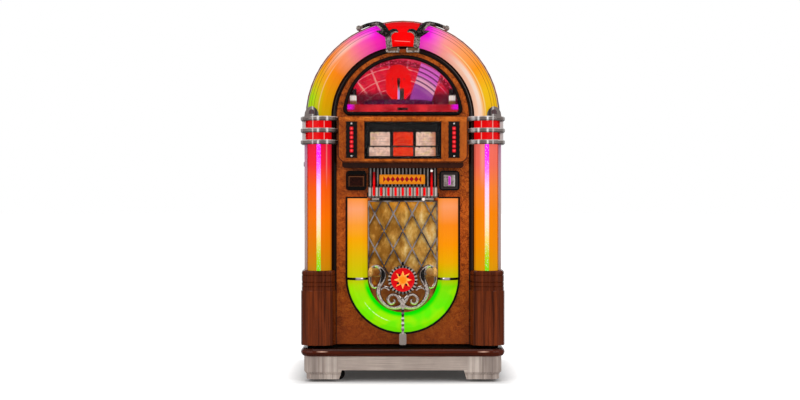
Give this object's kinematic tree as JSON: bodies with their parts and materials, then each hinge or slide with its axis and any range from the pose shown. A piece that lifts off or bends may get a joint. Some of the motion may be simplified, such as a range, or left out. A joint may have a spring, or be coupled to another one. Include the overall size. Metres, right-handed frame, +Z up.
{
  "type": "jukebox",
  "caption": "Arch-topped floor-standing jukebox with a hinged front door, lit side columns, a disc carousel behind a window, push buttons, a coin slot and casters.",
  "frame": {"origin": "centre of the footprint, on the floor", "axes": "+X to the right seen from the front, +Y to the back, +Z up"},
  "size_m": [0.857, 0.7, 1.514],
  "materials": {
    "burl_wood": "gloss lacquer",
    "dark_wood": "gloss lacquer",
    "plywood": "plain",
    "black_paint": "gloss",
    "red_paint": "gloss",
    "board_red": "satin",
    "carousel_plum": "satin",
    "chrome": "polished",
    "steel": "brushed",
    "aluminium": "brushed",
    "gold_mesh": "woven",
    "gold_bar": "satin",
    "lens_orange": "ribbed, lit",
    "lens_red": "gloss, lit",
    "tube_liquid": "clear, lit",
    "pane": "clear",
    "page_card": "printed card in a clear holder",
    "button_red": "gloss",
    "cone_black": "matte",
    "wheel_black": "matte"
  },
  "bodies": {
    "cabinet_body": {"cabinet": "burl_wood", "rear_cover": "plywood", "base_board": "plywood", "plinth": "aluminium", "base_moulding": "dark_wood", "mechanism_shelf": "red_paint", "backdrop": "board_red", "player_housing": "red_paint", "amplifier": "steel", "door_hinge": "steel"},
    "door": {"front_door": "burl_wood", "arch_lens_left": "lens_orange", "arch_lens_right": "lens_orange", "crown_lens": "lens_red", "crown_claws": "chrome", "column_lens_left": "lens_orange", "column_lens_right": "lens_orange", "bubble_tube_left": "tube_liquid", "bubble_tube_right": "tube_liquid", "collar_left": "chrome", "collar_right": "chrome", "pilaster_left": "dark_wood", "pilaster_right": "dark_wood", "window_frame": "black_paint", "window_glass": "pane", "title_box": "chrome", "title_glass": "pane", "button_bezel_left": "chrome", "button_bezel_right": "chrome", "selector_trim": "chrome", "coin_entry": "chrome", "coin_return": "chrome", "u_lens": "lens_orange", "grille_mesh": "gold_mesh", "grille_lattice": "gold_bar", "scroll_ornament": "chrome", "speaker": "cone_black"},
    "lock_body": {"side_lock": "chrome"},
    "page_body": {"title_page": "page_card"},
    "return_flap_body": {"coin_return_flap": "chrome"},
    "button_left_1_body": {"button_left_1": "button_red"},
    "button_left_2_body": {"button_left_2": "button_red"},
    "button_left_3_body": {"button_left_3": "button_red"},
    "button_left_4_body": {"button_left_4": "button_red"},
    "button_left_5_body": {"button_left_5": "button_red"},
    "button_left_6_body": {"button_left_6": "button_red"},
    "button_right_1_body": {"button_right_1": "button_red"},
    "button_right_2_body": {"button_right_2": "button_red"},
    "button_right_3_body": {"button_right_3": "button_red"},
    "button_right_4_body": {"button_right_4": "button_red"},
    "button_right_5_body": {"button_right_5": "button_red"},
    "button_right_6_body": {"button_right_6": "button_red"},
    "gripper_body": {"gripper_arm": "chrome"},
    "carousel_body": {"disc_carousel": "carousel_plum"},
    "caster_left_body": {"caster_fork_left": "steel"},
    "front_wheel_left_body": {"front_wheel_left": "wheel_black"},
    "rear_wheel_left_body": {"rear_wheel_left": "wheel_black"},
    "caster_right_body": {"caster_fork_right": "steel"},
    "front_wheel_right_body": {"front_wheel_right": "wheel_black"},
    "rear_wheel_right_body": {"rear_wheel_right": "wheel_black"}
  },
  "joints": [
    {"name": "door_swing", "type": "hinge", "parent": "cabinet_body", "child": "door", "pos_m": [0.415, -0.1747, 0.153], "axis": [0, 0, 1], "range_deg": [0, 100]},
    {"name": "lock_turn", "type": "hinge", "parent": "door", "child": "lock_body", "pos_m": [-0.409, -0.215, 0.911], "axis": [1, 0, 0], "range_deg": [0, 90]},
    {"name": "page_turn", "type": "hinge", "parent": "door", "child": "page_body", "pos_m": [0, -0.2813, 0.985], "axis": [-1, 0, 0], "range_deg": [0, 150]},
    {"name": "return_flap_swing", "type": "hinge", "parent": "door", "child": "return_flap_body", "pos_m": [-0.196, -0.2783, 0.8603], "axis": [1, 0, 0], "range_deg": [0, 45]},
    {"name": "button_left_1_press", "type": "slide", "parent": "door", "child": "button_left_1_body", "axis": [0, 1, 0], "range_m": [0, 0.003], "stiffness_N_per_m": 150},
    {"name": "button_left_2_press", "type": "slide", "parent": "door", "child": "button_left_2_body", "axis": [0, 1, 0], "range_m": [0, 0.003], "stiffness_N_per_m": 150},
    {"name": "button_left_3_press", "type": "slide", "parent": "door", "child": "button_left_3_body", "axis": [0, 1, 0], "range_m": [0, 0.003], "stiffness_N_per_m": 150},
    {"name": "button_left_4_press", "type": "slide", "parent": "door", "child": "button_left_4_body", "axis": [0, 1, 0], "range_m": [0, 0.003], "stiffness_N_per_m": 150},
    {"name": "button_left_5_press", "type": "slide", "parent": "door", "child": "button_left_5_body", "axis": [0, 1, 0], "range_m": [0, 0.003], "stiffness_N_per_m": 150},
    {"name": "button_left_6_press", "type": "slide", "parent": "door", "child": "button_left_6_body", "axis": [0, 1, 0], "range_m": [0, 0.003], "stiffness_N_per_m": 150},
    {"name": "button_right_1_press", "type": "slide", "parent": "door", "child": "button_right_1_body", "axis": [0, 1, 0], "range_m": [0, 0.003], "stiffness_N_per_m": 150},
    {"name": "button_right_2_press", "type": "slide", "parent": "door", "child": "button_right_2_body", "axis": [0, 1, 0], "range_m": [0, 0.003], "stiffness_N_per_m": 150},
    {"name": "button_right_3_press", "type": "slide", "parent": "door", "child": "button_right_3_body", "axis": [0, 1, 0], "range_m": [0, 0.003], "stiffness_N_per_m": 150},
    {"name": "button_right_4_press", "type": "slide", "parent": "door", "child": "button_right_4_body", "axis": [0, 1, 0], "range_m": [0, 0.003], "stiffness_N_per_m": 150},
    {"name": "button_right_5_press", "type": "slide", "parent": "door", "child": "button_right_5_body", "axis": [0, 1, 0], "range_m": [0, 0.003], "stiffness_N_per_m": 150},
    {"name": "button_right_6_press", "type": "slide", "parent": "door", "child": "button_right_6_body", "axis": [0, 1, 0], "range_m": [0, 0.003], "stiffness_N_per_m": 150},
    {"name": "gripper_swing", "type": "hinge", "parent": "cabinet_body", "child": "gripper_body", "pos_m": [-0.0175, -0.05, 1.19], "axis": [1, 0, 0], "range_deg": [0, 20]},
    {"name": "carousel_turn", "type": "hinge", "parent": "cabinet_body", "child": "carousel_body", "pos_m": [-0.0175, 0.015, 1.135], "axis": [0, 0, 1], "continuous": true},
    {"name": "caster_swivel_left", "type": "hinge", "parent": "cabinet_body", "child": "caster_left_body", "pos_m": [-0.3, -0.24, 0.06252], "axis": [0, 0, 1], "continuous": true},
    {"name": "front_wheel_roll_left", "type": "hinge", "parent": "caster_left_body", "child": "front_wheel_left_body", "pos_m": [-0.27, -0.24, 0.02452], "axis": [0, 1, 0], "continuous": true},
    {"name": "rear_wheel_roll_left", "type": "hinge", "parent": "cabinet_body", "child": "rear_wheel_left_body", "pos_m": [-0.3, 0.265, 0.02452], "axis": [1, 0, 0], "continuous": true},
    {"name": "caster_swivel_right", "type": "hinge", "parent": "cabinet_body", "child": "caster_right_body", "pos_m": [0.3, -0.24, 0.06252], "axis": [0, 0, 1], "continuous": true},
    {"name": "front_wheel_roll_right", "type": "hinge", "parent": "caster_right_body", "child": "front_wheel_right_body", "pos_m": [0.33, -0.24, 0.02452], "axis": [0, 1, 0], "continuous": true},
    {"name": "rear_wheel_roll_right", "type": "hinge", "parent": "cabinet_body", "child": "rear_wheel_right_body", "pos_m": [0.3, 0.265, 0.02452], "axis": [1, 0, 0], "continuous": true}
  ]
}
